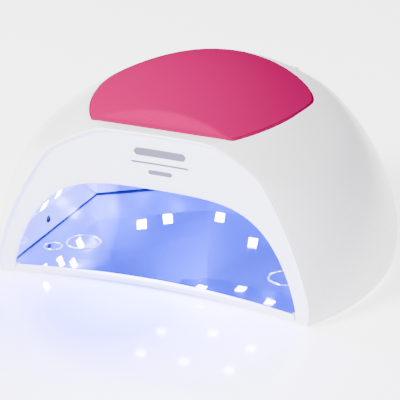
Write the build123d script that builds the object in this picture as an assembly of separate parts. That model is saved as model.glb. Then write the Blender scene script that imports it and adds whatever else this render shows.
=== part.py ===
from build123d import *
from math import cos, exp, pi, radians, sin, tan
import os

# UV LED nail lamp: a white dome with an arched hand opening, a mirror-lined faceted cavity,
# a loose base plate, a soft silicone pad on the crown and a control panel behind the pad.
# Drawn in mm: X across, Y back from the line of the front feet, Z up from the table.
# Every piece is moved forward by ORIGIN_Y when it is written, so the footprint is centred.
ORIGIN_Y = 86.15

# ---- outer form -----------------------------------------------------------------------
DOME_Y = 66.0          # the widest line across the dome
DOME_HEIGHT = 111.5    # where the dome's own curve would close
DOME_SIDE = 111.9      # half width before the foot tuck
DOME_REAR = 109.8      # reach behind the widest line before the foot tuck
RIM_Z = 1.2            # lower rim of the shell above the table
WALL = 2.5             # shell wall
FACE_HALF_CHORD = 82.2
FACE_SAG = 10.3        # the front face bows back by this much between the feet
FACE_LEAN = 1.65       # degrees that the face leans forward
FACE_RADIUS = (FACE_HALF_CHORD ** 2 + FACE_SAG ** 2) / (2 * FACE_SAG)
ARCH_FOOT_Z = 5.6
ARCH_RISE = 52.3

# ---- crown and pad --------------------------------------------------------------------
CROWN_TOP = 109.0
CROWN_Y = 76.6
CROWN_RADIUS_X = 107.0
CROWN_RADIUS_Y = 172.0
PANEL_EDGE_Y = 116.0   # behind this line the crown falls away as the control panel
PANEL_TILT = 27.0      # slope of the control panel, degrees
DECK_Z = 89.6          # flat shoulder in front of the pad, at the feet line
DECK_SLOPE = 2.9       # degrees that the shoulder rises towards the back
DECK_END_Y = 79.0
PAD_Y = 79.0
PAD_HALF_WIDTH = 59.6
PAD_FRONT = 86.4
PAD_REAR = 34.0
PAD_CHORD_Y = 15.0     # straight front edge of the pad
PAD_CHORD_Z = 91.3
PAD_FACET = 66.0       # steepness of the pad's front facet, degrees
PAD_THICK = 3.0
PAD_GAP = 0.3

# ---- base plate -----------------------------------------------------------------------
FOOT_HEIGHT = 0.8
PLATE_TOP = 4.5
MIRROR_TOP = 5.0
PLATE_GAP = 0.5
MAGNET_R = 4.0
MAGNET_Z = 2.0
MAGNET_SPOTS = [(93.5, 32), (38, 156)]
FOOT_R = 5.0
FOOT_TOP = 1.6
FOOT_SPOTS = [(90, 22), (92, 95), (45, 152)]
RING_SPOTS = [(61, 42.5, 9.5), (74, 30.5, 5)]    # embossed rings in the mirror sheet: x, y, radius
RING_TUBE = 0.45

# ---- hand cavity ----------------------------------------------------------------------
CAVITY_OUTLINE = [(84, -40), (86, 110), (31, 151), (-31, 151), (-86, 110), (-84, -40)]
CREASE_Z = 21.4        # top of the upright walls
CEILING_Z = 58.0
LEAN_IN = 0.5155       # the upper facets lean in this much for each mm of rise
SKIN = 1.6             # reflector wall
FRAME_Z = 5.3
FRAME_TOP = 8.3
SHELF_TOP = 9.9        # reflector flange that lies on the frame
SHELF_WIDTH = 5.0
FLANGE_SCREW_SPOTS = [(90, 62), (72, 126.5)]

# ---- screw bosses, air slots and inlet of the shell -----------------------------------
BOSS_SPOTS = [(98, 45, 0), (97, 95, 0), (62, 143, 50)]    # x, y and the turn of the rib to the wall
BOSS_R = 3.5
BOSS_TOP = 26.0
SHELL_SCREW_TOP = 20.0
SLOT_SIZE = (2.2, 14)
SLOT_FIRST_X = 30
SLOT_PITCH = 6
SLOT_COUNT = 5         # on each side of the inlet
SLOT_Z = 30
INLET_R = 4.2

# ---- electronics ----------------------------------------------------------------------
LED_SIZE = 5.2
LED_WINDOW = 5.8
BOARD = 1.6
BOARD_GAP = 0.15       # bond between a lamp board and the reflector
SENSOR_Y = 47.0
SENSOR_Z = 13.2
SENSOR_R = 2.4
CONTROL_Z = 70.0
CONTROL_SIZE = (108, 56)
CONTROL_Y = 72.0
CONTROL_POSTS = [(-50, 52), (-50, 92), (50, 52), (50, 92)]
JACK_Z = 14.0
JACK_PIN_R = 1.25
JACK_PIN_LENGTH = 9.0
PANEL_Y = 131.0
PANEL_POST_X = 33.0
PANEL_BOARD_DEPTH = 15.0
BUTTON_R = 4.0
BUTTON_X = [-27, -9, 9, 27]
BUTTON_ROW = 6.0       # below the panel centre, along the slope
WINDOW_ROW = -6.5
WINDOW_SIZE = (36, 11)
BUTTON_TRAVEL = 0.6


def upright(x, y, z0, z1, radius):
    return Pos(x, y, (z0 + z1) / 2) * Cylinder(radius, z1 - z0)


def span(x0, x1, y0, y1, z0, z1):
    return Pos((x0 + x1) / 2, (y0 + y1) / 2, (z0 + z1) / 2) * Box(x1 - x0, y1 - y0, z1 - z0)


def both_sides(spots):
    return [(side * x, y) for x, y, *_ in spots for side in (1, -1)]


def mirrored(piece):
    return mirror(piece, about=Plane.YZ)


def group(solids):
    return Compound(children=[solid.solids()[0] for solid in solids])


# ---- dome -----------------------------------------------------------------------------
def dome_radii(z):
    swell = max(1 - (z / DOME_HEIGHT) ** 2.13, 0.002) ** 0.4885
    tuck = 1 - 0.054 * exp(-z / 9.9)
    return DOME_SIDE * swell * tuck, DOME_REAR * swell ** 0.607 * tuck, 120.5 - 0.58 * z + 0.00193 * z * z


def dome_section(z, inset):
    side, rear, front = (radius - inset for radius in dome_radii(z))
    edges = [EllipticalCenterArc((0, DOME_Y), side, rear, 0, arc_size=180),
             EllipticalCenterArc((0, DOME_Y), side, front, 180, arc_size=180)]
    return make_face(edges)


def dome(bottom, top, inset, drop, count=12):
    sections = []
    for i in range(count):
        z = bottom + (top - bottom) * (1 - cos(pi * i / (count - 1))) / 2
        sections.append(Pos(0, 0, z) * dome_section(z + drop, inset))
    return loft(sections)


def crown_height(x, y):
    return CROWN_TOP - x * x / (2 * CROWN_RADIUS_X) - (y - CROWN_Y) ** 2 / (2 * CROWN_RADIUS_Y)


def panel_height(x, y):
    return crown_height(x, PANEL_EDGE_Y) - (y - PANEL_EDGE_Y) * tan(radians(PANEL_TILT))


def below(height, reach):
    steps = [reach * k / 5 for k in range(-5, 6)]
    grid = [[Vector(x, 90 + y, height(x, 90 + y)) for y in steps] for x in steps]
    return extrude(Face.make_surface_from_array_of_points(grid), amount=260, dir=(0, 0, -1))


def ahead_of_face(setback):
    bar = Pos(0, FACE_SAG - FACE_RADIUS, 60) * Cylinder(FACE_RADIUS + setback, 300)
    return Rot(X=FACE_LEAN) * bar


def above_facet(drop):
    return Pos(0, PAD_CHORD_Y, PAD_CHORD_Z - drop) * Rot(X=PAD_FACET) * Pos(0, 0, 60) * Box(260, 400, 120)


def above_deck(drop):
    slab = Pos(0, DECK_END_Y - 150, 50) * Box(300, 300, 100)
    return Pos(0, 0, DECK_Z - drop) * Rot(X=DECK_SLOPE) * slab & span(-150, 150, -200, DECK_END_Y, 0, 200)


def pad_prism(grow, z0=70, z1=125):
    front = Pos(0, PAD_Y) * Ellipse(PAD_HALF_WIDTH + grow, PAD_FRONT + grow)
    rear = Pos(0, PAD_Y) * Ellipse(PAD_HALF_WIDTH + grow, PAD_REAR + grow)
    chord = PAD_CHORD_Y - grow
    front = front & Pos(0, (chord + PAD_Y) / 2) * Rectangle(200, PAD_Y - chord)
    rear = rear & Pos(0, PAD_Y + 50) * Rectangle(200, 100)
    return Pos(0, 0, z0) * extrude(front + rear, amount=z1 - z0)


def arch_prism():
    points = []
    count = 16
    for i in range(count + 1):
        c = cos(pi * i / count)
        s = max(sin(pi * i / count), 0)
        x = FACE_HALF_CHORD * abs(c) ** 0.45 * (1 if c > 0 else -1)
        points.append((x, ARCH_FOOT_Z + ARCH_RISE * s ** 1.6))
    points[0] = (FACE_HALF_CHORD, ARCH_FOOT_Z)
    points[-1] = (-FACE_HALF_CHORD, ARCH_FOOT_Z)
    points[count // 2] = (0, ARCH_FOOT_Z + ARCH_RISE)
    sill = Polyline(points[-1], (-FACE_HALF_CHORD, -5), (FACE_HALF_CHORD, -5), points[0])
    outline = make_face([Spline(points), sill])
    return Pos(0, FACE_SAG + 5, 0) * (Rot(X=90) * extrude(outline, amount=40))


PANEL = Plane(origin=(0, PANEL_Y, panel_height(0, PANEL_Y)), x_dir=(1, 0, 0),
              z_dir=(0, sin(radians(PANEL_TILT)), cos(radians(PANEL_TILT))))


def on_panel(x, y, z0, z1, shape):
    return PANEL * (Pos(x, y, (z0 + z1) / 2) * shape)


crown = below(crown_height, 140) & below(panel_height, 150)
outer_dome = dome(RIM_Z, 108, 0, 0)
inner_dome = dome(RIM_Z - 1, 105, WALL, WALL)


def make_top_shell():
    seat = crown - above_facet(0)
    under_seat = Pos(0, 0, -PAD_THICK - 0.2 - WALL) * seat
    under_panel = Pos(0, 0, -WALL) * crown & span(-150, 150, PAD_Y + PAD_REAR + 3, 220, 0, 130)
    hollow = inner_dome & (under_seat + under_panel)
    hollow -= above_deck(PAD_THICK + WALL + 0.6) - pad_prism(-WALL)
    hollow -= ahead_of_face(WALL)
    shell = outer_dome & crown
    shell -= above_deck(0) - pad_prism(PAD_GAP)
    shell -= pad_prism(PAD_GAP) - Pos(0, 0, -PAD_THICK - 0.2) * seat
    shell -= ahead_of_face(0)
    shell -= hollow
    for x, y, turn in BOSS_SPOTS:
        rib = Pos(x, y, 17) * Rot(Z=turn) * span(0, 16, -1, 1, -8, 8)
        boss = (upright(x, y, FRAME_TOP + 0.05, BOSS_TOP, BOSS_R) + rib) & hollow
        shell += boss
        shell += mirrored(boss)
    for x, y in both_sides(BOSS_SPOTS):
        shell -= upright(x, y, FRAME_TOP - 1, 22, 1.45)
    for x in (-PANEL_POST_X, PANEL_POST_X):
        post = PANEL * (Pos(x, 0, -PANEL_BOARD_DEPTH / 2) * Cylinder(2.6, PANEL_BOARD_DEPTH))
        shell += post & hollow
        shell -= PANEL * (Pos(x, 0, -PANEL_BOARD_DEPTH + 2) * Cylinder(1.15, 6))
    shell -= arch_prism()
    width, height = WINDOW_SIZE
    shell -= PANEL * (Pos(0, WINDOW_ROW, 0) * Box(width - 3, height - 3, 30))
    shell -= PANEL * (Pos(0, WINDOW_ROW, 0) * Box(width + 0.3, height + 0.3, 40)) - Pos(0, 0, -1.8) * crown
    shell -= on_panel(0, WINDOW_ROW, -18, -5.0, Box(width, height, 13))
    for x in BUTTON_X:
        shell -= on_panel(x, BUTTON_ROW, -15, 15, Cylinder(BUTTON_R + 0.2, 30))
        shell -= on_panel(x, BUTTON_ROW, -15, 15, Cylinder(BUTTON_R + 1.3, 30)) & Pos(0, 0, -WALL) * crown
    shell -= Pos(0, 172, JACK_Z) * Rot(X=90) * Cylinder(INLET_R, 20)
    slot = Box(SLOT_SIZE[0], 60, SLOT_SIZE[1])
    for i in range(SLOT_COUNT):
        for side in (1, -1):
            shell -= Pos(side * (SLOT_FIRST_X + SLOT_PITCH * i), 160, SLOT_Z) * slot
    return shell


def make_pad():
    top = crown - above_facet(0)
    return pad_prism(0) & (top - Pos(0, 0, -PAD_THICK) * top)


# ---- base plate and what it carries ---------------------------------------------------
def face_disc(setback):
    return Pos(0, FACE_SAG - FACE_RADIUS) * Circle(FACE_RADIUS + setback)


def plate_outline(gap):
    ring = dome_section(RIM_Z, WALL + gap) - face_disc(WALL + gap)
    half_width = FACE_HALF_CHORD - gap
    return ring + (Pos(0, 20) * Rectangle(2 * half_width, 60) - face_disc(gap))


def make_base_plate():
    plate = Pos(0, 0, FOOT_HEIGHT) * extrude(plate_outline(PLATE_GAP), amount=MIRROR_TOP - FOOT_HEIGHT)
    plate -= Pos(0, 0, PLATE_TOP) * extrude(cavity_outline(1.2), amount=10)
    for x, y in both_sides(MAGNET_SPOTS):
        plate -= upright(x, y, MAGNET_Z, 10, MAGNET_R + 0.1)
    for x, y in both_sides(FOOT_SPOTS):
        plate -= upright(x, y, 0, FOOT_TOP, FOOT_R + 0.1)
    return plate


def make_feet():
    return group(upright(x, y, 0, FOOT_TOP, FOOT_R) for x, y in both_sides(FOOT_SPOTS))


def make_magnets():
    return group(upright(x, y, MAGNET_Z, MIRROR_TOP - 0.1, MAGNET_R) for x, y in both_sides(MAGNET_SPOTS))


def make_catches():
    spots = both_sides(MAGNET_SPOTS)
    return group(upright(x, y, FRAME_Z, FRAME_Z + 1.4, MAGNET_R) for x, y in spots)


def make_mirror_sheet():
    sheet_face = cavity_outline(1.0) & plate_outline(PLATE_GAP + 0.2)
    sheet = Pos(0, 0, PLATE_TOP) * extrude(sheet_face, amount=MIRROR_TOP - PLATE_TOP)
    for x, y, radius in RING_SPOTS:
        for side in (1, -1):
            sheet += Pos(side * x, y, MIRROR_TOP) * Torus(radius, RING_TUBE)
    return sheet & span(-120, 120, -20, 200, PLATE_TOP, 10)


# ---- hand cavity and reflector --------------------------------------------------------
def cavity_outline(grow):
    return offset(make_face(Polyline(*CAVITY_OUTLINE, close=True)), grow, kind=Kind.INTERSECTION)


def outline_at(z, grow):
    return Pos(0, 0, z) * cavity_outline(grow - max(z - CREASE_Z, 0) * LEAN_IN)


def cavity_prism(grow, z0, z1):
    return extrude(Pos(0, 0, z0) * cavity_outline(grow), amount=z1 - z0)


def cavity(grow, floor, ceiling):
    hood = loft([outline_at(CREASE_Z, grow), outline_at(ceiling, grow)], ruled=True)
    return cavity_prism(grow, floor, CREASE_Z) + hood


def facet(a, b):
    edge = Vector(b[0] - a[0], b[1] - a[1], 0).normalized()
    inward = Vector(-edge.Y, edge.X, 0)
    up_slope = (inward * LEAN_IN + Vector(0, 0, 1)).normalized()
    along = up_slope.cross((inward - Vector(0, 0, LEAN_IN)).normalized())
    middle = ((a[0] + b[0]) / 2, (a[1] + b[1]) / 2, CREASE_Z)
    return Plane(origin=middle, x_dir=along, z_dir=along.cross(up_slope))


# Each lit facet: the plane of its inner surface, its board's middle and size, and its LED places
FACETS = {
    "right": (facet((84, -40), (86, 110)), (-23, 6.5), (62, 20),
              [(-4.3, 3.4), (-20.9, 5.5), (-31.8, 11.4), (-47.3, 4.3)]),
    "rear_right": (facet((86, 110), (31, 151)), (0, 7.5), (50, 17), [(7.7, 5.1), (-8.3, 3.4)]),
    "rear": (facet((31, 151), (-31, 151)), (0, 10), (55, 24), [(-23.6, 3.4), (23.6, 3.4), (0, 15.1)]),
    "ceiling": (Plane(origin=(0, 76, CEILING_Z), x_dir=(1, 0, 0), z_dir=(0, 0, -1)), (0, -6.5), (66, 96),
                [(0, -50), (22, -41.3), (-22, -41.3), (0, -8), (28, 2), (-28, 2),
                 (0, 32), (27, 32), (-27, 32)]),
}


def make_reflector():
    body = cavity(SKIN, FRAME_Z, CEILING_Z + SKIN)
    ledge = cavity_prism(SKIN + SHELF_WIDTH, FRAME_TOP + 0.05, SHELF_TOP) & span(-120, 120, 25, 200, 0, 20)
    body += ledge
    for x, y in CONTROL_POSTS:
        body += upright(x, y, CEILING_Z + 1, CONTROL_Z, 3)
        body -= upright(x, y, CONTROL_Z - 7, CONTROL_Z + 1, 1.15)
    body -= cavity(0, FRAME_Z - 1, CEILING_Z)
    body -= ahead_of_face(WALL + 0.3)
    body &= dome(FRAME_Z - 2, 78, WALL + 0.4, WALL)
    for name in FACETS:
        for hole in led_solids(name, LED_WINDOW, 3, -0.8):
            body -= hole
            if "right" in name:
                body -= mirrored(hole)
    for side in (1, -1):
        body -= Pos(side * 86, SENSOR_Y, SENSOR_Z) * Rot(Y=90) * Cylinder(SENSOR_R + 0.1, 12)
    for x, y in both_sides(FLANGE_SCREW_SPOTS):
        body -= upright(x, y, FRAME_Z, 20, 1.3)
    return body


def led_solids(name, width, depth, middle):
    plane, _, _, spots = FACETS[name]
    return [plane * (Pos(u, v, middle) * Box(width, width, depth)) for u, v in spots]


def make_board(name):
    plane, (u, v), (length, width), _ = FACETS[name]
    return plane * (Pos(u, v, -SKIN - BOARD_GAP - BOARD / 2) * Box(length, width, BOARD))


def make_chips(name):
    depth = SKIN + BOARD_GAP
    return group(led_solids(name, LED_SIZE, depth, -depth / 2))


# ---- frame under the shell ------------------------------------------------------------
def make_frame():
    frame = Pos(0, 0, FRAME_Z) * extrude(dome_section(FRAME_Z, WALL + 0.15), amount=FRAME_TOP - FRAME_Z)
    frame = (frame - cavity_prism(SKIN + 0.15, 0, 20)) & span(-120, 120, 8, 200, 0, 20)
    for x, y in both_sides(MAGNET_SPOTS):
        frame -= upright(x, y, 0, FRAME_Z + 1.4, MAGNET_R + 0.1)
    for x, y in both_sides(BOSS_SPOTS):
        frame -= upright(x, y, 0, 20, 1.7)
        frame -= upright(x, y, 0, FRAME_Z + 1.6, 3.0)
    for x, y in both_sides(FLANGE_SCREW_SPOTS):
        frame -= upright(x, y, 0, 20, 1.1)
    return frame


def screw(x, y, head_z, tip_z, head_radius, shank_radius, head_height=1.4):
    low, high = sorted((head_z, tip_z))
    head = (low, low + head_height) if head_z < tip_z else (high - head_height, high)
    return upright(x, y, low, high, shank_radius) + upright(x, y, head[0], head[1], head_radius)


def make_shell_screws():
    spots = both_sides(BOSS_SPOTS)
    return group(screw(x, y, FRAME_Z + 0.1, SHELL_SCREW_TOP, 2.8, 1.4) for x, y in spots)


def make_reflector_screws():
    spots = both_sides(FLANGE_SCREW_SPOTS)
    return group(screw(x, y, SHELF_TOP + 1.4, FRAME_Z + 0.3, 2.2, 1.05) for x, y in spots)


# ---- sensors, boards, display ---------------------------------------------------------
def make_sensor(side):
    barrel = Pos(side * 90.2, SENSOR_Y, SENSOR_Z) * Rot(Y=90) * Cylinder(SENSOR_R, 7.6)
    tip = Pos(side * 86.4, SENSOR_Y, SENSOR_Z) * Sphere(SENSOR_R)
    return barrel + (tip & span(-86.4, 86.4, 0, 100, 0, 50))


def make_sensor_holder(side):
    block = Pos(side * 91.2, SENSOR_Y, SENSOR_Z + 0.4) * Box(4.4, 9, 7)
    return block - Pos(side * 90, SENSOR_Y, SENSOR_Z) * Rot(Y=90) * Cylinder(SENSOR_R, 20)


def make_control_board():
    length, width = CONTROL_SIZE
    board = Pos(0, CONTROL_Y, CONTROL_Z + BOARD / 2) * Box(length, width, BOARD)
    for x, y in CONTROL_POSTS:
        board -= upright(x, y, CONTROL_Z - 1, CONTROL_Z + 5, 1.3)
    return board


def make_board_screws():
    return group(screw(x, y, CONTROL_Z + BOARD + 1.4, CONTROL_Z - 6, 2.2, 1.1) for x, y in CONTROL_POSTS)


def make_capacitors():
    top = CONTROL_Z + BOARD
    return group([upright(-34, 60, top, top + 12, 5), upright(-34, 76, top, top + 12, 5),
                  upright(-20, 60, top, top + 8, 4)])


def make_inductors():
    top = CONTROL_Z + BOARD
    return group([span(x - 6, x + 6, 54, 66, top, top + 6) for x in (0, 18, 36)])


def make_board_chips():
    top = CONTROL_Z + BOARD
    return group([span(-4, 6, 74, 84, top, top + 1.6), span(16, 22, 74, 79, top, top + 1.6),
                  span(28, 34, 74, 79, top, top + 1.6)])


def make_sockets():
    top = CONTROL_Z + BOARD
    return group([span(x - 5, x + 5, 92, 99.5, top, top + 7) for x in (-15, 4, 24)])


def make_jack():
    jack = span(-5.5, 5.5, 158.5, 170.8, FRAME_TOP + 0.05, JACK_Z + 5.5)
    jack += Pos(0, 171.4, JACK_Z) * Rot(X=90) * Cylinder(4.0, 4.0)
    return jack - Pos(0, 168.4, JACK_Z) * Rot(X=90) * Cylinder(3.0, 14.0)


def make_jack_pin():
    return Pos(0, 161.4 + JACK_PIN_LENGTH / 2, JACK_Z) * Rot(X=90) * Cylinder(JACK_PIN_R, JACK_PIN_LENGTH)


def lead(points, radii, radius):
    path = FilletPolyline(*points, radius=radii)
    return sweep(Plane(origin=path @ 0, z_dir=path % 0) * Circle(radius), path=path)


def make_power_lead():
    route = [(4, 164, JACK_Z + 5.6), (4, 164, 42), (4, 150, 66), (4, 122, 75), (4, 99.6, 75)]
    return lead(route, [18, 22, 26], 1.4)


def make_panel_lead():
    low = PANEL.from_local_coords((-15, 0, -PANEL_BOARD_DEPTH - BOARD - 0.1))
    return lead([(low.X, low.Y, low.Z), (-15, low.Y - 3.4, 75), (-15, 99.6, 75)], [6], 1.2)


def make_window():
    width, height = WINDOW_SIZE
    glass = on_panel(0, WINDOW_ROW, -15, 15, Box(width, height, 30))
    return glass & (crown - Pos(0, 0, -1.7) * crown)


def make_display():
    return on_panel(0, WINDOW_ROW, -PANEL_BOARD_DEPTH, -5.2, Box(34, 10, PANEL_BOARD_DEPTH - 5.2))


def make_panel_board():
    board = on_panel(0, 0, -PANEL_BOARD_DEPTH - BOARD, -PANEL_BOARD_DEPTH, Box(74, 26, BOARD))
    for x in (-PANEL_POST_X, PANEL_POST_X):
        board -= on_panel(x, 0, -20, -10, Cylinder(1.2, 10))
    return board


def make_panel_screws():
    low = -PANEL_BOARD_DEPTH - BOARD
    screws = []
    for x in (-PANEL_POST_X, PANEL_POST_X):
        shank = on_panel(x, 0, low - 1.4, -PANEL_BOARD_DEPTH + 4, Cylinder(1.1, 4 + BOARD + 1.4))
        screws.append(shank + on_panel(x, 0, low - 1.4, low, Cylinder(2.2, 1.4)))
    return group(screws)


def make_switches():
    base = -PANEL_BOARD_DEPTH
    switches = []
    for x in BUTTON_X:
        body = on_panel(x, BUTTON_ROW, base, base + 3.4, Box(6, 6, 3.4))
        switches.append(body + on_panel(x, BUTTON_ROW, base + 3.4, base + 4.2, Cylinder(1.7, 0.8)))
    return group(switches)


def make_button(x):
    cap = on_panel(x, BUTTON_ROW, -14, 14, Cylinder(BUTTON_R, 28))
    flange = on_panel(x, BUTTON_ROW, -14, 14, Cylinder(BUTTON_R + 0.9, 28))
    button = cap & (Pos(0, 0, 0.6) * crown - Pos(0, 0, -WALL - 1.6) * crown)
    button += flange & (Pos(0, 0, -WALL - 0.5) * crown - Pos(0, 0, -WALL - 1.6) * crown)
    surface = crown_height(x, PANEL_Y) - crown_height(0, PANEL_Y)
    low = -PANEL_BOARD_DEPTH + 4.2 + BUTTON_TRAVEL + 0.05
    return button + on_panel(x, BUTTON_ROW, low, surface - 3.5, Cylinder(1.5, surface - 3.5 - low))


pieces = {
    "top_shell": make_top_shell(),
    "silicone_pad": make_pad(),
    "base_plate": make_base_plate(),
    "base_mirror_sheet": make_mirror_sheet(),
    "base_magnets": make_magnets(),
    "base_rubber_feet": make_feet(),
    "bottom_frame": make_frame(),
    "catch_discs": make_catches(),
    "reflector": make_reflector(),
    "shell_screws": make_shell_screws(),
    "reflector_screws": make_reflector_screws(),
    "control_board": make_control_board(),
    "control_board_screws": make_board_screws(),
    "capacitors": make_capacitors(),
    "inductors": make_inductors(),
    "driver_chips": make_board_chips(),
    "wire_sockets": make_sockets(),
    "dc_jack": make_jack(),
    "dc_jack_pin": make_jack_pin(),
    "power_lead": make_power_lead(),
    "panel_lead": make_panel_lead(),
    "display_window": make_window(),
    "display_module": make_display(),
    "panel_board": make_panel_board(),
    "panel_screws": make_panel_screws(),
    "tact_switches": make_switches(),
}
for name in FACETS:
    pieces["led_board_" + name] = make_board(name)
    pieces["led_chips_" + name] = make_chips(name)
for name in ("right", "rear_right"):
    left = name.replace("right", "left")
    pieces["led_board_" + left] = mirrored(pieces["led_board_" + name])
    pieces["led_chips_" + left] = mirrored(pieces["led_chips_" + name])
for side, where, job in ((-1, "left", "emitter"), (1, "right", "receiver")):
    pieces["sensor_" + job] = make_sensor(side)
    pieces["sensor_holder_" + where] = make_sensor_holder(side)
for x, seconds in zip(BUTTON_X, (10, 30, 60, 99)):
    pieces[f"button_{seconds}s"] = make_button(x)

os.makedirs("parts", exist_ok=True)
for name, piece in pieces.items():
    export_step(Pos(0, -ORIGIN_Y, 0) * piece, f"parts/{name}.step")
print(len(pieces), "pieces written")
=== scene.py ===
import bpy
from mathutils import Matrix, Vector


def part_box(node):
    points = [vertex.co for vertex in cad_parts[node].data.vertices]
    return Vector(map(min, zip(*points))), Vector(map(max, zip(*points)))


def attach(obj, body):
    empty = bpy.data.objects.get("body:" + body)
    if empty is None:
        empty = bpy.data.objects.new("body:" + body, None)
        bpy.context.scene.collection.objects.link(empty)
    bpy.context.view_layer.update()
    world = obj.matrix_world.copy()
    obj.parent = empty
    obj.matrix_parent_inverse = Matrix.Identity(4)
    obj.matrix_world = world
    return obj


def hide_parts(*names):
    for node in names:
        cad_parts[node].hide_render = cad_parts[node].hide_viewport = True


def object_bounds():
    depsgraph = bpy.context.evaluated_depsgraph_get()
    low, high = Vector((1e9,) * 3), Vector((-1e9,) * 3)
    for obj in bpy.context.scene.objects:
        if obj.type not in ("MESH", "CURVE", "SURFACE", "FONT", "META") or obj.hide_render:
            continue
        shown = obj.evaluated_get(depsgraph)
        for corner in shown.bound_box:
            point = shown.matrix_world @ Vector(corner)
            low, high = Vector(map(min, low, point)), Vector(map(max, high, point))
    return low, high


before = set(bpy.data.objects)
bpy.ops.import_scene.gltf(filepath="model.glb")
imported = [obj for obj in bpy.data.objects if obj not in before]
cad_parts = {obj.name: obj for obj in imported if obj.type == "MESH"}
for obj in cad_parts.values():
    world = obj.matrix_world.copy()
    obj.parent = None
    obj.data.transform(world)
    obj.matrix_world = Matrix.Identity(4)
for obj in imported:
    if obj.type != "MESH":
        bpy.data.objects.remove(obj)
cad_box = [list(corner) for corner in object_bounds()]

import math

import bmesh
import bpy
import numpy as np
from mathutils import Vector

# ---- Camera ---------------------------------------------------------------------------------
# A long lens, a little to the right of the hand opening and above it. It is placed on the lamp's
# own drawing, as every piece is: mm, X across, Y back from the line of the front feet, Z up.

# the first rubber foot starts 17 mm behind that line, which ties the drawing to the frame
first_foot = 17
feet_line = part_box("base_rubber_feet")[0].y * 1000 - first_foot


def to_frame(points):
    return (np.asarray(points, float) + (0, feet_line, 0)) / 1000


azimuth, elevation = math.radians(23.67), math.radians(21.49)
distance, focal_length, look_up = 1.1368, 185.3, 0.01228
towards_camera = Vector((math.sin(azimuth) * math.cos(elevation), -math.cos(azimuth) * math.cos(elevation),
                         math.sin(elevation)))
lamp_middle = Vector(to_frame((0, 66, 45)))
upward = towards_camera.cross(Vector((math.cos(azimuth), math.sin(azimuth), 0)))
camera = bpy.data.objects.new("camera", bpy.data.cameras.new("camera"))
camera.data.lens = focal_length
camera.location = lamp_middle + towards_camera * distance
camera.rotation_euler = (towards_camera * distance + upward * look_up).to_track_quat("Z", "Y").to_euler()
bpy.context.scene.collection.objects.link(camera)
bpy.context.scene.camera = camera


# ---- Studio ---------------------------------------------------------------------------------
# A white sweep: the sky is bright low down and softer overhead. One broad light stands at the
# front left, and a violet one spills from the hand opening onto the table.
sky_stops = ((0.05, (1, 1, 1, 1)), (0.75, (0.42, 0.42, 0.43, 1)))
world = bpy.data.worlds.new("studio")
bpy.context.scene.world = world
world.use_nodes = True
sky = world.node_tree
sky_place = sky.nodes.new("ShaderNodeTexCoord")
sky_axes = sky.nodes.new("ShaderNodeSeparateXYZ")
sky_ramp = sky.nodes.new("ShaderNodeValToRGB")
sky.links.new(sky_place.outputs["Generated"], sky_axes.inputs[0])
sky.links.new(sky_axes.outputs["Z"], sky_ramp.inputs["Fac"])
sky.links.new(sky_ramp.outputs["Color"], sky.nodes["Background"].inputs["Color"])
for stop, (position, color) in zip(sky_ramp.color_ramp.elements, sky_stops):
    stop.position = position
    stop.color = color
sky.nodes["Background"].inputs["Strength"].default_value = 1.9


def soft_light(name, place, target, size, power, color=(1, 1, 1), mirrored=True):
    light = bpy.data.lights.new(name, "AREA")
    light.size = size
    light.energy = power
    light.color = color
    lamp = bpy.data.objects.new(name, light)
    lamp.location = place
    lamp.rotation_euler = (Vector(place) - Vector(target)).to_track_quat("Z", "Y").to_euler()
    lamp.visible_glossy = mirrored
    bpy.context.scene.collection.objects.link(lamp)


soft_light("front_light", (-0.75, -1.15, 1.15), (0, 0, 0.05), 0.6, 120)
soft_light("spill_light", to_frame((0, 14, 34)), to_frame((0, -60, 0)), 0.09, 2.2, (0.22, 0.18, 1.0),
           mirrored=False)


# ---- Table ----------------------------------------------------------------------------------
# A plain pale top with a soft polish that mirrors the lit hand space, and a blue glow painted into it in front of
# the opening.
# Its finish is the first one made, so the classes that write every finish stand here.
class Tree:
    """A node tree while it is being written."""

    def node(self, kind, settings=None, inputs=None):
        node = self.tree.nodes.new(kind)
        for key, value in (settings or {}).items():
            if key == "stops":
                for element, (position, color) in zip(node.color_ramp.elements, value):
                    element.position = position
                    element.color = (*color, 1)
            else:
                setattr(node, key, value)
        for key, value in (inputs or {}).items():
            self.feed(node.inputs[key], value)
        return node

    def feed(self, socket, value):
        value = value.socket if isinstance(value, Field) else value
        if isinstance(value, bpy.types.NodeSocket):
            self.tree.links.new(value, socket)
        else:
            socket.default_value = value


class Field:
    """A number that varies over a surface, written with plain operators."""

    def __init__(self, tree, socket):
        self.tree = tree
        self.socket = socket

    def math(self, operation, first, second):
        node = self.tree.node("ShaderNodeMath", {"operation": operation}, {0: first, 1: second})
        return Field(self.tree, node.outputs[0])

    def __add__(self, other):
        return self.math("ADD", self, other)

    def __mul__(self, other):
        return self.math("MULTIPLY", self, other)

    __radd__ = __add__
    __rmul__ = __mul__


class Finish(Tree):
    """One material, whose patterns are laid out in the piece's own coordinates."""

    def __init__(self, name, **constants):
        self.material = bpy.data.materials.new(name)
        self.material.use_nodes = True
        self.tree = self.material.node_tree
        self.shader = self.tree.nodes["Principled BSDF"]
        self.place = self.node("ShaderNodeTexCoord").outputs["Object"]
        for key, value in constants.items():
            self.shader.inputs[key.replace("_", " ").title().replace("Ior", "IOR")].default_value = value

    def noise(self, scale, detail=3.0, roughness=0.55):
        node = self.node("ShaderNodeTexNoise", None,
                         {"Vector": self.place, "Scale": scale, "Detail": detail, "Roughness": roughness})
        return Field(self, node.outputs["Fac"])

    def mix(self, factor, first, second):
        node = self.node("ShaderNodeMix", {"data_type": "RGBA"}, {0: factor, 6: (*first, 1), 7: (*second, 1)})
        return node.outputs[2]

    def bump(self, height, distance, strength=1.0):
        node = self.node("ShaderNodeBump", None, {"Height": height, "Distance": distance, "Strength": strength})
        self.feed(self.shader.inputs["Normal"], node.outputs["Normal"])


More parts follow.
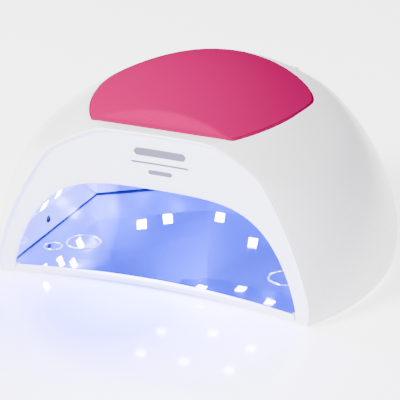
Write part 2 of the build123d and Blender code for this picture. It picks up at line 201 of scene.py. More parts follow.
bpy.ops.mesh.primitive_plane_add(size=12)
table = bpy.context.object
table.name = "table"
pale = Finish("pale_table", roughness=0.07, emission_strength=2.4)
# painted glow and shade: in front of the hand opening the table's colour and emission turn blue-violet, standing
# in for the opening's light and the lamp's shade on the table
painted_glow_place = pale.node("ShaderNodeMapping", None,
                       {"Vector": pale.place, "Location": (0.1, 0.88, 0), "Scale": (8.0, 8.0, 1)})
painted_glow_fall = pale.node("ShaderNodeTexGradient", {"gradient_type": "QUADRATIC_SPHERE"},
                      {"Vector": painted_glow_place.outputs[0]})
glow = Field(pale, painted_glow_fall.outputs["Fac"]) * 1.7
# the painted glow, with a faint random tone over the whole top
tone = glow + pale.noise(3.0) * 0.03
pale.feed(pale.shader.inputs["Base Color"], pale.mix(tone, (0.95, 0.95, 0.955), (0.36, 0.36, 0.86)))
pale.feed(pale.shader.inputs["Emission Color"], pale.mix(glow, (1.0, 1.0, 1.0), (0.12, 0.12, 0.85)))
table.data.materials.append(pale.material)


# ---- Top shell ------------------------------------------------------------------------------
# The lamp's one-piece cover in glossy white ABS, held to the bottom frame by screws from below:
# a dome, a concave front face with a soft raised ridge round it, a flat shoulder and a recess
# for the pad, and openings for the panel, the inlet and the air.
dome_y, dome_height, dome_side, dome_rear = 66.0, 111.5, 111.9, 109.77
rim_z, wall = 1.2, 2.5
face_half_chord, face_sag = 82.2, 10.3
face_radius = (face_half_chord ** 2 + face_sag ** 2) / (2 * face_sag)
face_lean = math.tan(math.radians(1.65))
arch_foot_z, arch_rise = 5.6, 52.3
crown_top, crown_y, crown_rx, crown_ry = 108.98, 76.6, 107.0, 172.0
panel_edge, panel_slope = 116.0, math.tan(math.radians(27))
ridge_rise, ridge_round, ridge_width, face_recess = 0.5, 0.9, 1.4, 1.1
pad_seat, seat_underside = 3.2, 5.7


def smooth_max(a, b, width):
    overlap = np.clip(width - np.abs(a - b), 0, None) / width
    return np.maximum(a, b) + overlap ** 2 * width / 4


def dome_radii(z):
    swell = np.maximum(1 - (np.clip(z, 0, dome_height) / dome_height) ** 2.13, 1e-5) ** 0.4885
    tuck = 1 - 0.054 * np.exp(-z / 9.9)
    return dome_side * swell * tuck, dome_rear * swell ** 0.607 * tuck, 120.5 - 0.58 * z + 0.00193 * z * z


def crown_height(x, y):
    return crown_top - x * x / (2 * crown_rx) - (y - crown_y) ** 2 / (2 * crown_ry)


def face_y(x, z):
    return face_sag - face_radius + np.sqrt(face_radius ** 2 - x * x) - face_lean * z


def outside_shell(x, y, z):
    """Distance outside the dome with its crown and shoulder, negative within."""
    side, rear, front = dome_radii(z)
    reach = np.where(y > dome_y, rear, front)
    power = np.where(y > dome_y, 2.0, 2.13)
    spread = np.abs(x / side) ** power + np.abs((y - dome_y) / reach) ** power
    dome = (spread ** (1 / power) - 1) * 88
    crown = z - crown_height(x, y)
    panel = z - crown_height(x, panel_edge) + (y - panel_edge) * panel_slope
    top = smooth_max(crown, panel, 0.8) * 0.95
    shoulder = z - (89.6 + 0.05 * y + 0.03 * np.clip(y - 56, 0, None) ** 2)
    return smooth_max(smooth_max(dome, top, 2.0), shoulder, 2.0)


def root(level, low, high, value):
    """The place between low and high where value crosses level, for every entry at once."""
    low, high = np.array(low, float), np.array(high, float)
    for _ in range(42):
        halfway = (low + high) / 2
        inside = value(halfway) < level
        low, high = np.where(inside, halfway, low), np.where(inside, high, halfway)
    return (low + high) / 2


def along_rays(centre, directions, level):
    reach = root(level, np.full(len(directions), 10.0), np.full(len(directions), 260.0),
                 lambda r: outside_shell(*(np.asarray(centre)[:, None] + directions.T * r)))
    return np.asarray(centre) + directions * reach[:, None]


def resample(points, fractions):
    """Points at the given fractions of a polyline's length."""
    steps = np.linalg.norm(np.diff(points, axis=0), axis=1)
    length = np.concatenate([[0], np.cumsum(steps)])
    places = np.asarray(fractions) * length[-1]
    return np.stack([np.interp(places, length, points[:, k]) for k in range(points.shape[1])], 1)


def pad_outline(grow, count=1441):
    """Pad outline from the middle of its straight front edge, anticlockwise, with rounded corners."""
    angle = np.linspace(-math.pi / 2, 1.5 * math.pi, count)
    across, front, rear, chord = 59.6 + grow, 86.4 + grow, 34.0 + grow, 15.0 - grow
    radius_y = np.where(np.sin(angle) > 0, rear, front)
    ray_x, ray_y = np.cos(angle), np.sin(angle)
    curve = 1 / np.sqrt((ray_x / across) ** 2 + (ray_y / radius_y) ** 2)
    flat = (79 - chord) / np.maximum(-ray_y, 1e-3)
    reach = -smooth_max(-curve, -flat, 2.2)
    return np.stack([ray_x * reach, 79 + ray_y * reach], 1)


columns_face, columns_rear = 241, 260
half_face = columns_face // 2
foremost = cad_box[0][1] * 1000 - feet_line + 0.01
angles = np.linspace(math.pi, 0, 3001)
setback = ridge_round - ridge_rise
ridge_lean = 0.34


def face_point(angle, reach, behind):
    x, z = reach * np.cos(angle), rim_z + reach * np.sin(angle)
    return np.stack([x, np.maximum(face_y(x, z) + behind, foremost), z], -1)


def face_edge(angle, behind, level=0.0):
    near, far = np.full(len(angle), 30.0), np.full(len(angle), 160.0)
    return root(level, near, far, lambda r: outside_shell(*face_point(angle, r, behind).T))


def arch_edge(angle):
    def beyond(reach):
        x, z = reach * np.cos(angle), rim_z + reach * np.sin(angle)
        rise = np.clip(z - arch_foot_z, 0, None) / arch_rise
        return (np.abs(x) / face_half_chord) ** 4.444 + rise ** 1.25 - 1
    return root(0, np.full(len(angle), 10.0), np.full(len(angle), 140.0), beyond)


outline = face_point(angles, face_edge(angles, setback), setback)
travel = np.concatenate([[0], np.cumsum(np.linalg.norm(np.diff(outline, axis=0), axis=1))])
angles = np.interp(np.linspace(0, travel[-1], columns_face), travel, angles)
edge, arch = face_edge(angles, setback), arch_edge(angles)

# rows of the front face, from the dome over the ridge and across to the arch and its reveal
face_rows = []
for turn in np.linspace(0, math.pi / 2, 7):
    inward, behind = ridge_round * (1 - math.cos(turn)), setback - ridge_round * math.sin(turn)
    face_rows.append(face_point(angles, edge - inward, behind + ridge_lean))
crest = setback - ridge_round + ridge_lean
for share in np.linspace(0, 1, 7)[1:]:
    settle = share * share * (3 - 2 * share)
    reach = edge - ridge_round - ridge_width * share
    face_rows.append(face_point(angles, reach, crest + (face_recess - crest) * settle))
ridge_foot, lip = edge - ridge_round - ridge_width, 1.0
for share in np.linspace(0, 1, 18)[1:]:
    face_rows.append(face_point(angles, ridge_foot + (arch + lip - ridge_foot) * share, face_recess))
for turn in np.linspace(0, math.pi / 2, 5)[1:]:
    face_rows.append(face_point(angles, arch + lip * (1 - math.sin(turn)),
                                face_recess + lip * (1 - math.cos(turn))))
face_rows.append(face_point(angles, arch, wall))
inner_edge = face_edge(angles, wall, -wall)
for share in (0.25, 0.6, 1.0):
    face_rows.append(face_point(angles, arch + (inner_edge - arch) * share, wall))


def rim_loop(level):
    """The lower rim behind the feet, from the right foot round to the left one."""
    right, behind = np.array([0.0]), setback if level == 0 else wall
    start = face_point(right, face_edge(right, behind, level), behind)[0]
    first = math.atan2(start[1] - dome_y, start[0])
    turn = np.linspace(first, math.pi - first, columns_rear + 2)[1:-1]
    directions = np.stack([np.cos(turn), np.sin(turn), np.zeros(len(turn))], 1)
    return along_rays((0, dome_y, rim_z), directions, level)


def ring_from(front_row, rim):
    """Closed loop that starts at the top of the face and runs to the right foot, rear and left foot."""
    return np.concatenate([front_row[half_face:], rim, front_row[:half_face]])


outer_loop = ring_from(face_rows[0], rim_loop(0.0))
inner_loop = ring_from(face_rows[-1], rim_loop(-wall))
columns = len(outer_loop)

# each column ends on the pad recess: face top to the pad's front edge, feet to its sides
path = np.concatenate([outer_loop, outer_loop[:1]])
run = np.concatenate([[0], np.cumsum(np.linalg.norm(np.diff(path, axis=0), axis=1))])[:-1]
corner = run[np.argmax(outer_loop[:columns // 2, 0] > 45)]
foot = run[columns_face // 2]
total = np.linalg.norm(np.diff(path, axis=0), axis=1).sum()
marks = [0, corner, foot, total / 2, total - foot, total - corner, total]
pad_shares = np.interp(run, marks, [0, 0.108, 0.285, 0.5, 0.715, 0.892, 1])
recess_gap, lining_gap = 0.3, 2.8
recess = resample(pad_outline(recess_gap), pad_shares)


def on_surface(plan, level):
    height = root(level, np.full(len(plan), 60.0), np.full(len(plan), 125.0),
                  lambda z: outside_shell(plan[:, 0], plan[:, 1], z))
    return np.column_stack([plan, height])


def unit(vectors):
    return vectors / np.linalg.norm(vectors, axis=1)[:, None]


core = np.array((0.0, 66.0, 20.0))
recess_edge = on_surface(recess, 0.0)
body_rows = [outer_loop]
for share in np.linspace(1, 0, 74)[1:-1] ** 1.35:
    direction = unit(unit(outer_loop - core) * share + unit(recess_edge - core) * (1 - share))
    body_rows.append(along_rays(core, direction, 0.0))
body_rows.append(recess_edge)


def shrink(plan, share, centre=(0.0, 66.0)):
    return np.asarray(centre) + (plan - np.asarray(centre)) * share


def facet_height(x, y):
    """Height of the pad's top: the crown, with a steeper facet down to the straight front edge."""
    slope = 91.3 + (y - 15) * math.tan(math.radians(66))
    return -smooth_max(-crown_height(x, y), -slope, 1.2)


def seat_row(share, drop, gap=recess_gap):
    plan = shrink(resample(pad_outline(gap), pad_shares), share)
    return np.column_stack([plan, facet_height(*plan.T) - drop])


body_rows.append(recess_edge + (0, 0, -0.4))
for share in (1.0, 0.97, 0.9, 0.8, 0.68, 0.55, 0.42, 0.3, 0.18, 0.08):
    body_rows.append(seat_row(share, pad_seat))
seat_middle = np.array((0.0, 66.0, crown_height(0.0, 66.0)))
lining = [inner_loop]
inner_recess = on_surface(resample(pad_outline(lining_gap), pad_shares), -wall)
for share in np.linspace(1, 0, 16)[1:-1]:
    direction = unit(unit(inner_loop - core) * share + unit(inner_recess - core) * (1 - share))
    lining.append(along_rays(core, direction, -wall))
lining.append(inner_recess)
for share in (1.0, 0.8, 0.5, 0.2):
    lining.append(seat_row(share, seat_underside, lining_gap if share == 1.0 else recess_gap))


def mesh_object(name, points, faces, material=None):
    mesh = bpy.data.meshes.new(name)
    mesh.from_pydata([tuple(point) for point in to_frame(points)], [], faces)
    build = bmesh.new()
    build.from_mesh(mesh)
    bmesh.ops.remove_doubles(build, verts=build.verts, dist=1e-6)
    bmesh.ops.holes_fill(build, edges=[e for e in build.edges if e.is_boundary], sides=0)
    bmesh.ops.recalc_face_normals(build, faces=build.faces)
    build.to_mesh(mesh)
    build.free()
    mesh.shade_smooth()
    mesh.set_sharp_from_angle(angle=math.radians(38))
    piece = bpy.data.objects.new(name, mesh)
    bpy.context.scene.collection.objects.link(piece)
    if material:
        mesh.materials.append(material)
    return piece


class Sheet:
    """Points and quads of a surface that is laid out in rows."""

    def __init__(self):
        self.points = []
        self.faces = []

    def rows(self, rows, closed):
        for row in rows:
            self.points.extend(row)
        width = len(rows[0])
        start = len(self.points) - width * len(rows)
        for i in range(len(rows) - 1):
            for j in range(width if closed else width - 1):
                k = (j + 1) % width
                a = start + i * width
                self.faces.append((a + j, a + k, a + width + k, a + width + j))

    def cap(self, row, point):
        start = len(self.points)
        self.points.extend(row)
        self.points.append(point)
        for j in range(len(row)):
            self.faces.append((start + j, start + (j + 1) % len(row), start + len(row)))


def moulded(name, light, dark, roughness, grain=900.0, depth=0.00002, **constants):
    """Moulded plastic, rubber or plated metal: a faint cloud of tone, uneven gloss and a fine grain."""
    finish = Finish(name, **constants)
    cloud = finish.noise(14.0)
    fine = finish.noise(grain, 2.0)
    finish.feed(finish.shader.inputs["Base Color"], finish.mix(cloud, dark, light))
    finish.feed(finish.shader.inputs["Roughness"], cloud * 0.10 + fine * 0.06 + (roughness - 0.08))
    finish.bump(fine, depth)
    return finish.material


sheet = Sheet()
sheet.rows(face_rows, closed=False)
sheet.rows(body_rows, closed=True)
sheet.cap(body_rows[-1], seat_middle - (0, 0, pad_seat))
sheet.rows(lining, closed=True)
sheet.cap(lining[-1], seat_middle - (0, 0, seat_underside))
rear = slice(half_face, half_face + columns_rear + 2)
sheet.rows([outer_loop[rear], inner_loop[rear]], closed=False)

white = moulded("white_gloss_abs", (0.85, 0.85, 0.89), (0.82, 0.82, 0.86), 0.26, 700.0, 0.000012,
                coat_weight=0.35, coat_roughness=0.12)
shell = mesh_object("white_shell", sheet.points, sheet.faces, white)

tilt = math.atan(panel_slope)
panel_y = 131.0
panel_z = crown_height(0, panel_edge) - (panel_y - panel_edge) * panel_slope


def on_panel(points):
    """Points given across the panel, down its slope and out from it, in the drawing's frame."""
    across, down, out = np.asarray(points, float).T
    return np.column_stack([across, panel_y + down * math.cos(tilt) + out * math.sin(tilt),
                            panel_z - down * math.sin(tilt) + out * math.cos(tilt)])


def prism(outline, low, high):
    """Points and faces of an upright prism over an outline, before it is placed."""
    count = len(outline)
    points = [(*point, low) for point in outline] + [(*point, high) for point in outline]
    faces = [(k, (k + 1) % count, count + (k + 1) % count, count + k) for k in range(count)]
    return np.array(points), faces + [tuple(range(count))[::-1], tuple(range(count, 2 * count))]


def rounded(width, height, radius, middle=(0, 0), steps=5):
    corners = []
    for quarter, (sx, sy) in enumerate(((1, 1), (-1, 1), (-1, -1), (1, -1))):
        for turn in np.linspace(quarter, quarter + 1, steps) * math.pi / 2:
            corners.append((middle[0] + sx * (width / 2 - radius) + radius * math.cos(turn),
                            middle[1] + sy * (height / 2 - radius) + radius * math.sin(turn)))
    return corners


def plain_mesh(body):
    """The mesh of a body as its modifiers leave it, after which they are taken off."""
    bpy.context.view_layer.update()
    evaluated = body.evaluated_get(bpy.context.evaluated_depsgraph_get())
    result = bpy.data.meshes.new_from_object(evaluated)
    body.modifiers.clear()
    body.data = result


def cut(body, cutter):
    boolean = body.modifiers.new("cut", "BOOLEAN")
    boolean.object = cutter
    boolean.operation = "DIFFERENCE"
    boolean.solver = "EXACT"
    plain_mesh(body)
    bpy.data.objects.remove(cutter)


class Recipe(Tree):
    """A Geometry Nodes tree with named inputs, which works on one piece and leaves a plain mesh."""

    def __init__(self, name, **values):
        self.tree = bpy.data.node_groups.new(name, "GeometryNodeTree")
        face = self.tree.interface
        face.new_socket("Geometry", in_out="OUTPUT", socket_type="NodeSocketGeometry")
        face.new_socket("Geometry", in_out="INPUT", socket_type="NodeSocketGeometry")
        kinds = {int: "NodeSocketInt", float: "NodeSocketFloat", tuple: "NodeSocketVector"}
        self.values = {}
        for key, value in values.items():
            socket = face.new_socket(key, in_out="INPUT", socket_type=kinds[type(value)])
            self.values[socket.identifier] = value
        self.given = self.tree.nodes.new("NodeGroupInput").outputs

    def run(self, piece, result, material):
        real = self.node("GeometryNodeRealizeInstances", None, {0: result})
        finished = self.node("GeometryNodeSetMaterial", None, {0: real.outputs[0], "Material": material})
        self.feed(self.tree.nodes.new("NodeGroupOutput").inputs[0], finished.outputs[0])
        modifier = piece.modifiers.new("recipe", "NODES")
        modifier.node_group = self.tree
        for identifier, value in self.values.items():
            modifier[identifier] = value
        plain_mesh(piece)


def round_hole(across, middle):
    return rounded(across, across, across / 2 - 0.001, middle, 12)


# the window's rebate and hole, then the button holes, through the panel's slope
button_x, button_row, window_row = (-27, -9, 9, 27), 6.0, -6.5
rebate, rebate_depth, window_hole, hole_corner = (36.3, 11.3), 1.9, (33, 8), 0.4
button_hole, inlet_hole, inlet_z, clear = 8.4, 8.4, 14, 20
for size, low in ((rebate, -rebate_depth), (window_hole, -clear)):
    points, faces = prism(rounded(*size, hole_corner, (0, window_row)), low, clear)
    cut(shell, mesh_object("window_cutter", on_panel(points), faces))
for x in button_x:
    points, faces = prism(round_hole(button_hole, (x, button_row)), -clear, clear)
    cut(shell, mesh_object("button_cutter", on_panel(points), faces))

# ten upright air slots in the rear wall, five at each side of the power inlet
vents = Recipe("air_slots", Count=5, Pitch=(0.006, 0.0, 0.0), First=(0.03, 0.0, 0.0))
first_left, left_pitch = (
    vents.node("ShaderNodeVectorMath", {"operation": "SCALE"}, {0: vents.given[name], "Scale": -1.0})
    for name in ("First", "Pitch"))
both_rows = vents.node("GeometryNodeJoinGeometry")
for start, pitch in ((vents.given["First"], vents.given["Pitch"]), (first_left.outputs[0], left_pitch.outputs[0])):
    row = vents.node("GeometryNodeMeshLine", {"mode": "OFFSET"},
                     {"Count": vents.given["Count"], "Start Location": start, "Offset": pitch})
    vents.feed(both_rows.inputs[0], row.outputs[0])
slots = vents.node("GeometryNodeInstanceOnPoints", None,
                   {"Points": both_rows.outputs[0], "Instance": vents.given[0]})
slot_size, slot_corner, slot_z, rear_wall = (2.2, 14), 1.0, 30, (130, 200)
points, faces = prism(rounded(*slot_size, slot_corner, (0, slot_z), 4), *rear_wall)
slot_cutter = mesh_object("slot_cutter", points[:, (0, 2, 1)], faces)
vents.run(slot_cutter, slots.outputs[0], white)
cut(shell, slot_cutter)
points, faces = prism(round_hole(inlet_hole, (0, inlet_z)), 160, 200)
cut(shell, mesh_object("inlet_cutter", points[:, (0, 2, 1)], faces))
shell.data.set_sharp_from_angle(angle=math.radians(38))
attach(shell, "lamp")
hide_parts("top_shell")


# ---- Silicone pad ---------------------------------------------------------------------------
# A soft pink cover moulded in silicone rubber, 3 mm thick with a rounded rim. It lies loose in
# the recess on the crown and peels off by hand.
pad_rows = []
rim_plan = pad_outline(0, 321)[:-1]
pad_thick, pad_round, pad_reach = 3.0, 0.9, 62
for share in np.linspace(0.02, 0.985, 46):
    plan = shrink(rim_plan, share)
    pad_rows.append(np.column_stack([plan, facet_height(*plan.T)]))
for turn in np.linspace(0, math.pi / 2, 5):
    plan = shrink(rim_plan, 1 - pad_round * (1 - math.sin(turn)) / pad_reach)
    top = facet_height(*rim_plan.T)
    pad_rows.append(np.column_stack([plan, top - pad_round * (1 - math.cos(turn))]))
pad_rows.append(np.column_stack([rim_plan, facet_height(*rim_plan.T) - pad_thick]))
for share in (0.97, 0.8, 0.5, 0.1):
    plan = shrink(rim_plan, share)
    pad_rows.append(np.column_stack([plan, facet_height(*plan.T) - pad_thick]))
sheet = Sheet()
sheet.rows(pad_rows, closed=True)
sheet.cap(pad_rows[0], seat_middle)
sheet.cap(pad_rows[-1], seat_middle - (0, 0, pad_thick))
silicone = moulded("pink_silicone", (0.28, 0.0, 0.064), (0.25, 0.0, 0.056), 0.5, 1400.0, 0.00003,
                   specular_ior_level=0.0)
pad = mesh_object("pink_pad", sheet.points, sheet.faces, silicone)
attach(pad, "pad")
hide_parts("silicone_pad")


# ---- Printed marks --------------------------------------------------------------------------
# Pad-printed grey ink on the upper face, where a maker's print would be. Three plain bars with
# rounded ends stand in for it, each a thin strip that follows the concave face.
ink = moulded("grey_print", (0.10, 0.10, 0.105), (0.085, 0.085, 0.09), 0.5)
bar_x, steps = 2, 25
sheet = Sheet()
for middle, width, height in ((79.0, 30.0, 4.4), (73.0, 34.0, 1.1), (68.0, 14.0, 2.6)):
    start = len(sheet.points)
    for share in np.linspace(-1, 1, steps):
        past_straight = max(abs(share) * width - width + height, 0) / height
        half_height = height / 2 * math.sqrt(max(1 - past_straight ** 2, 0.02))
        x = bar_x + share * width / 2
        for z in (middle - half_height, middle + half_height):
            sheet.points.append((x, float(face_y(x, z)) + face_recess - 0.05, z))
    sheet.faces += [(start + k, start + k + 2, start + k + 3, start + k + 1)
                    for k in range(0, 2 * steps - 2, 2)]
mesh = bpy.data.meshes.new("printed_bars")
mesh.from_pydata([tuple(point) for point in to_frame(sheet.points)], [], sheet.faces)
mesh.materials.append(ink)
bars = bpy.data.objects.new("printed_bars", mesh)
bpy.context.scene.collection.objects.link(bars)
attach(bars, "lamp")


# ---- Base plate -----------------------------------------------------------------------------
# The loose plate the lamp stands on, moulded in the same white ABS and cut to the dome's foot,
# with a rounded lip at the front. Magnets in it hold it to the lamp.
plate_top, floor_recess = 4.8, 4.5
spokes = np.linspace(-math.pi / 2, 1.5 * math.pi, 1081)[:-1]
spoke = np.stack([np.cos(spokes), np.sin(spokes)], 1)
hub = np.array((0.0, 70.0))


def plate_reach(gap):
    side, rear, front = (radius - wall - gap for radius in dome_radii(rim_z))

    def beyond(reach):
        x, y = (hub + spoke * reach[:, None]).T
        away = face_radius - np.hypot(x, y - face_sag + face_radius)
        ring = np.maximum(np.hypot(x / side, (y - dome_y) / np.where(y > dome_y, rear, front)) - 1,
                          (away + wall + gap) / 60)
        tongue = np.maximum(np.maximum(np.abs(x) - face_half_chord + gap, away + gap), y - 50) / 60
        return np.minimum(ring, tongue)
    return root(0, np.full(len(spokes), 10.0), np.full(len(spokes), 170.0), beyond)


def cavity_reach(grow):
    """Reach of the upright inner walls, which stand on a six-sided outline."""
    corners = np.array([(84, -40), (86, 110), (31, 151), (-31, 151), (-86, 110), (-84, -40)], float)
    reach = np.full(len(spokes), 400.0)
    for start, end in zip(corners, np.roll(corners, -1, axis=0)):
        along = (end - start) / np.linalg.norm(end - start)
        outward = np.array((along[1], -along[0]))
        facing = spoke @ outward
        crossing = ((start - hub) @ outward + grow) / np.maximum(facing, 1e-6)
        reach = np.minimum(reach, np.where(facing > 1e-6, crossing, 400))
    return reach


def ring_row(reach, z):
    return np.column_stack([hub + spoke * reach[:, None], np.full(len(reach), z)])


plate_edge = plate_reach(0.5)
recess_reach = np.minimum(cavity_reach(1.2), plate_edge - 1.9)
sheet = Sheet()
lip_profile = ((0.6, 0.8), (0.15, 1.0), (0.0, 1.5), (0.0, 2.9), (0.15, 3.7), (0.55, 4.3), (1.1, 4.65),
               (1.7, plate_top))
underside_inset, underside = lip_profile[0]
sheet.rows([ring_row(plate_edge - inset, z) for inset, z in lip_profile]
           + [ring_row(recess_reach, plate_top), ring_row(recess_reach, floor_recess)], closed=True)
sheet.cap(ring_row(plate_edge - underside_inset, underside), (*hub, underside))
sheet.cap(ring_row(recess_reach, floor_recess), (*hub, floor_recess))
plate = mesh_object("white_base_plate", sheet.points, sheet.faces, white)
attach(plate, "base")
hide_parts("base_plate")


# ---- Mirror lining --------------------------------------------------------------------------
# The faceted hood round the hand space: thin metallised mirror plastic, screwed to the bottom frame and lit
# blue-violet by the LEDs, with a blue-violet glow also painted into it as emission. It is kept as drawn and given
# its finish.
def lit_mirror(name, tint, glow, strength, roughness):
    finish = Finish(name, metallic=1.0, emission_strength=strength)
    cloud = finish.noise(9.0)
    finish.feed(finish.shader.inputs["Base Color"], finish.mix(cloud, tuple(0.93 * c for c in tint), tint))
    finish.feed(finish.shader.inputs["Roughness"], finish.noise(30.0) * 0.06 + (roughness - 0.03))
    finish.feed(finish.shader.inputs["Emission Color"], finish.mix(cloud, tuple(0.9 * c for c in glow), glow))
    finish.bump(finish.noise(45.0, 2.0), 0.00012)
    return finish


def coat_node(name, material):
    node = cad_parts[name]
    node.data.materials.clear()
    node.data.materials.append(material)


# painted glow: the hood's blue-violet emission stands in for the LED light that falls on it
hood = lit_mirror("hood_mirror_painted_glow", (0.17, 0.20, 0.85), (0.06, 0.08, 1.0), 0.9, 0.16)
# painted shade: dark along the foot, in the gap above the floor; painted light: much paler down the left side
painted_foot_shade_stops = ((0.38, (0.004, 0.005, 0.03)), (0.42, (1, 1, 1)))
painted_left_light_stops = ((0.268, (13.0, 10.5, 4.0)), (0.30, (1, 1, 1)))
hood_axes = hood.node("ShaderNodeSeparateXYZ", None, {0: hood.place})
painted_foot_shade = hood.node("ShaderNodeValToRGB", {"stops": painted_foot_shade_stops},
                       {"Fac": Field(hood, hood_axes.outputs["Z"]) * 66})
painted_left_light = hood.node("ShaderNodeValToRGB", {"stops": painted_left_light_stops},
                      {"Fac": Field(hood, hood_axes.outputs["X"]) * 4 + 0.6})
for socket in ("Base Color", "Emission Color"):
    shaded = hood.shader.inputs[socket].links[0].from_socket
    for shade in (painted_foot_shade, painted_left_light):
        shaded = hood.node("ShaderNodeMix", {"data_type": "RGBA", "blend_type": "MULTIPLY"},
                           {0: 1.0, 6: shaded, 7: shade.outputs["Color"]}).outputs[2]
    hood.feed(hood.shader.inputs[socket], shaded)
coat_node("reflector", hood.material)


# ---- Mirror floor and its rings -------------------------------------------------------------
# A thin sheet of the same mirror plastic, glued in the plate's recess, with its cut edges painted near-black as
# painted shade for the gap round it. Two rings are embossed in it at each side, near the front corners.
floor_under, floor_shoulder, floor_top = 4.52, 4.92, 5.0
sheet_reach = np.minimum(cavity_reach(1.0), plate_edge - 2.1)
sheet = Sheet()
sheet.rows([ring_row(sheet_reach, floor_under), ring_row(sheet_reach, floor_shoulder),
            ring_row(sheet_reach - 0.1, floor_top)], closed=True)
sheet.cap(ring_row(sheet_reach - 0.1, floor_top), (*hub, floor_top))
sheet.cap(ring_row(sheet_reach, floor_under), (*hub, floor_under))
# painted glow: the floor's blue emission stands in for the LED light that falls on it
floor = lit_mirror("floor_mirror_painted_glow", (0.24, 0.26, 0.92), (0.03, 0.04, 1.0), 0.5, 0.03)
mirror = mesh_object("mirror_floor", sheet.points, sheet.faces, floor.material)
# painted shade: the upright cut edges get a near-black finish, standing in for the shade in the gap round the
# sheet
mirror.data.materials.append(moulded("painted_shade_edge", (0.02, 0.02, 0.035), (0.015, 0.015, 0.025), 0.5))
for polygon in mirror.data.polygons:
    polygon.material_index = int(abs(polygon.normal.z) < 0.9)
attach(mirror, "base")
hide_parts("base_mirror_sheet")

# each ring is a low bead swept round a circle, on a point that carries its radius
ring_spots = [(side * x, y, radius) for side in (-1, 1) for x, y, radius in ((61, 42.5, 9.5), (74, 30.5, 5.0))]
ring_mesh = bpy.data.meshes.new("floor_rings")
ring_mesh.from_pydata([tuple(point) for point in to_frame([(x, y, 4.98) for x, y, _ in ring_spots])], [], [])
radii = ring_mesh.attributes.new("ring_radius", "FLOAT", "POINT")
radii.data.foreach_set("value", [radius / 1000 for _, _, radius in ring_spots])
rings = bpy.data.objects.new("floor_rings", ring_mesh)
bpy.context.scene.collection.objects.link(rings)
bead = Recipe("embossed_rings", Around=72, Across=7, Bead=0.0005, Flatten=(1.0, 0.92, 1.0))
circle = bead.node("GeometryNodeCurvePrimitiveCircle", {"mode": "RADIUS"},
                   {"Resolution": bead.given["Around"], "Radius": 1.0})
radius_of = bead.node("GeometryNodeInputNamedAttribute", {"data_type": "FLOAT"}, {"Name": "ring_radius"})
circles = bead.node("GeometryNodeInstanceOnPoints", None,
                    {"Points": bead.given[0], "Instance": circle.outputs[0], "Scale": radius_of.outputs[0]})
paths = bead.node("GeometryNodeRealizeInstances", None, {0: circles.outputs[0]})
arc = bead.node("GeometryNodeCurveArc", {"mode": "RADIUS"},
                {"Resolution": bead.given["Across"], "Radius": bead.given["Bead"],
                 "Start Angle": math.pi, "Sweep Angle": math.pi})
closed_arc = bead.node("GeometryNodeSetSplineCyclic", None, {0: arc.outputs[0], "Cyclic": True})
low_arc = bead.node("GeometryNodeTransform", None, {0: closed_arc.outputs[0], "Scale": bead.given["Flatten"]})
swept = bead.node("GeometryNodeCurveToMesh", None,
                  {"Curve": paths.outputs[0], "Profile Curve": low_arc.outputs[0]})
# painted highlight: the beads glow pale as emission, so they read as catching the light
bright = lit_mirror("bead_painted_highlight", (0.85, 0.88, 1.0), (0.45, 0.50, 1.0), 0.7, 0.08)
bead.run(rings, swept.outputs[0], bright.material)
rings.data.shade_smooth()
rings.data.set_sharp_from_angle(angle=math.radians(38))
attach(rings, "base")


# ---- Timer buttons --------------------------------------------------------------------------
# Four small caps moulded in white ABS with dished tops. A flange under the shell keeps each from
# falling out, and a stem reaches down to its switch. Turned from one profile of radius and height.
times = (10, 30, 60, 99)
for x, seconds in zip(button_x, times):
    level = (crown_height(x, panel_edge) - crown_height(0, panel_edge)) * math.cos(tilt)
    cap_profile = [(0.01, 0.34), (2.4, 0.42), (3.3, 0.56), (3.7, 0.5), (3.95, 0.25), (4.0, -0.2), (4.0, -2.9),
                   (4.9, -2.95), (4.9, -3.6), (1.5, -3.7), (1.5, -10.1 - level), (0.01, -10.1 - level)]
    turn = np.linspace(0, 2 * math.pi, 49)[:-1]
    lathe = [np.column_stack([x + r * np.cos(turn), button_row + r * np.sin(turn), np.full(48, level + h)])
             for r, h in cap_profile]
    sheet = Sheet()
    sheet.rows([on_panel(row) for row in lathe], closed=True)
    cap = mesh_object(f"button_cap_{seconds}", sheet.points, sheet.faces, white)
    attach(cap, f"button_{seconds}s")
    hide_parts(f"button_{seconds}s")


# ---- Button numbers -------------------------------------------------------------------------
# The seconds of each button, pad-printed in grey ink on the shell beside it: plain figures, under
# a tenth of a millimetre thick, bent to the crown's curve across the panel.
number_row, number_size, ink_depth = 14.6, 4.2, 0.04
for x, seconds in zip(button_x, times):
    bpy.ops.object.text_add()
    label = bpy.context.object
    label.data.body = str(seconds)
    label.data.size = number_size
    label.data.align_x = "CENTER"
    label.data.extrude = ink_depth
    bpy.ops.object.convert(target="MESH")
    label = bpy.context.object
    flat = np.array([vertex.co for vertex in label.data.vertices])
    placed = on_panel(np.column_stack([x - flat[:, 0], number_row - flat[:, 1], flat[:, 2] + ink_depth / 2]))
    placed[:, 2] -= placed[:, 0] ** 2 / (2 * crown_rx)
    for vertex, point in zip(label.data.vertices, to_frame(placed)):
        vertex.co = point
    label.name = f"button_number_{seconds}"
    label.data.materials.append(ink)
    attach(label, "lamp")


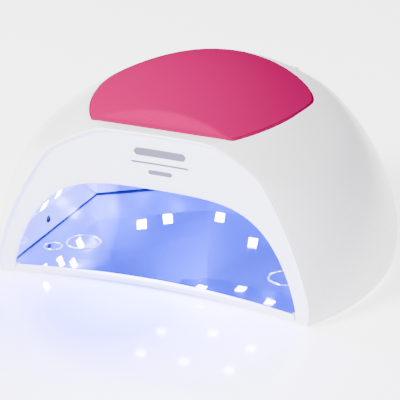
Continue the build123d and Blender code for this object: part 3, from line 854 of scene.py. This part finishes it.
# ---- Display figures ------------------------------------------------------------------------
# The lit seven-segment figures of the timer, seen in the smoked window and showing 60. They are
# bars with rounded corners that glow a cool white, given as place across and up, width, height.
segments = {"top": (0, 3, 2.6, 0.6), "bottom": (0, -3, 2.6, 0.6), "middle": (0, 0, 2.6, 0.6),
            "upper_left": (-1.6, 1.5, 0.6, 2.4), "upper_right": (1.6, 1.5, 0.6, 2.4),
            "lower_left": (-1.6, -1.5, 0.6, 2.4), "lower_right": (1.6, -1.5, 0.6, 2.4)}
digits = Sheet()
for offset, dark in ((-3.2, ("upper_right",)), (3.2, ("middle",))):
    for name, (u, v, width, height) in segments.items():
        if name in dark:
            continue
        points, faces = prism(rounded(width, height, 0.28, (-(offset + u), window_row - v), 3), 0.0, 0.06)
        start = len(digits.points)
        placed = on_panel(points)
        placed[:, 2] -= placed[:, 0] ** 2 / (2 * crown_rx)
        digits.points.extend(placed)
        digits.faces += [tuple(start + k for k in face) for face in faces]
figure = Finish("lit_segments", emission_strength=5.0)
cool_white = figure.mix(figure.noise(400.0), (0.75, 0.85, 1.0), (0.85, 0.92, 1.0))
figure.feed(figure.shader.inputs["Emission Color"], cool_white)
shown = mesh_object("display_digits", digits.points, digits.faces, figure.material)
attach(shown, "lamp")


# ---- Screws, magnets and metal discs --------------------------------------------------------
# Steel screws driven up from below and into the boards; nickel-plated magnets glued in the plate,
# the discs they pull on in the frame, and the inlet's pin. All are kept as drawn.
def metal(name, light, dark, roughness):
    return moulded(name, light, dark, roughness, 1200.0, 0.00001, metallic=1.0)


steel = metal("screw_steel", (0.55, 0.55, 0.56), (0.48, 0.48, 0.49), 0.32)
nickel = metal("nickel_plate", (0.66, 0.64, 0.60), (0.58, 0.56, 0.53), 0.25)
for name in ("shell_screws", "reflector_screws", "control_board_screws", "panel_screws"):
    coat_node(name, steel)
for name in ("base_magnets", "catch_discs", "dc_jack_pin"):
    coat_node(name, nickel)


# ---- Rubber feet ----------------------------------------------------------------------------
# Soft grey rubber pads, round and flat, glued in shallow pockets under the base plate.
coat_node("base_rubber_feet", moulded("grey_foot_rubber", (0.30, 0.30, 0.31), (0.24, 0.24, 0.25), 0.75))


# ---- Circuit boards -------------------------------------------------------------------------
# Glass-fibre boards: green ones for the control and the panel, screwed to posts, and white ones
# behind the facets of the lining, which carry the LEDs.
board = moulded("green_board", (0.02, 0.16, 0.07), (0.015, 0.12, 0.05), 0.45)
lamp_board = moulded("white_lamp_board", (0.70, 0.70, 0.68), (0.62, 0.62, 0.60), 0.5)
for name in ("control_board", "panel_board"):
    coat_node(name, board)
for side in ("left", "right", "rear", "rear_left", "rear_right", "ceiling"):
    coat_node(f"led_board_{side}", lamp_board)


# ---- LED chips ------------------------------------------------------------------------------
# Square UV LEDs with clear lenses, soldered to the white boards and set flush in the lining's
# windows. They glow almost white.
led_lens = Finish("led_lens", emission_strength=110.0)
lens_white = led_lens.mix(led_lens.noise(300.0), (0.86, 0.90, 1.0), (1.0, 1.0, 1.0))
led_lens.feed(led_lens.shader.inputs["Emission Color"], lens_white)
for side in ("left", "right", "rear", "rear_left", "rear_right", "ceiling"):
    coat_node(f"led_chips_{side}", led_lens.material)


# ---- Board parts and leads ------------------------------------------------------------------
# Black parts soldered to the boards, the inlet socket and the display's case, and the leads
# between the boards in soft dark sleeves, pushed into white sockets.
black = moulded("black_plastic", (0.03, 0.03, 0.032), (0.02, 0.02, 0.022), 0.42)
sleeve = moulded("wire_sleeve", (0.05, 0.05, 0.055), (0.035, 0.035, 0.04), 0.6)
for name in ("capacitors", "inductors", "driver_chips", "dc_jack", "tact_switches", "display_module"):
    coat_node(name, black)
for name in ("power_lead", "panel_lead"):
    coat_node(name, sleeve)


# ---- Frame and holders ----------------------------------------------------------------------
# Matt white ABS mouldings that nobody sees: the frame that closes the dome from below, the two
# sensor holders pushed in beside the lining, and the sockets of the leads.
matt_white = moulded("matt_white_abs", (0.72, 0.72, 0.74), (0.68, 0.68, 0.70), 0.5)
for name in ("bottom_frame", "sensor_holder_left", "sensor_holder_right", "wire_sockets"):
    coat_node(name, matt_white)


# ---- Window and hand sensors ----------------------------------------------------------------
# The smoked acrylic window glued in its recess over the display, and the two dark infrared
# parts in the side walls that start the lamp when a hand comes in.
smoked = moulded("smoked_window", (0.012, 0.012, 0.015), (0.008, 0.008, 0.01), 0.14, 900.0, 0.000004)
sensor_dark = moulded("sensor_dark", (0.012, 0.014, 0.05), (0.008, 0.01, 0.03), 0.2)
coat_node("display_window", smoked)
for name in ("sensor_emitter", "sensor_receiver"):
    coat_node(name, sensor_dark)
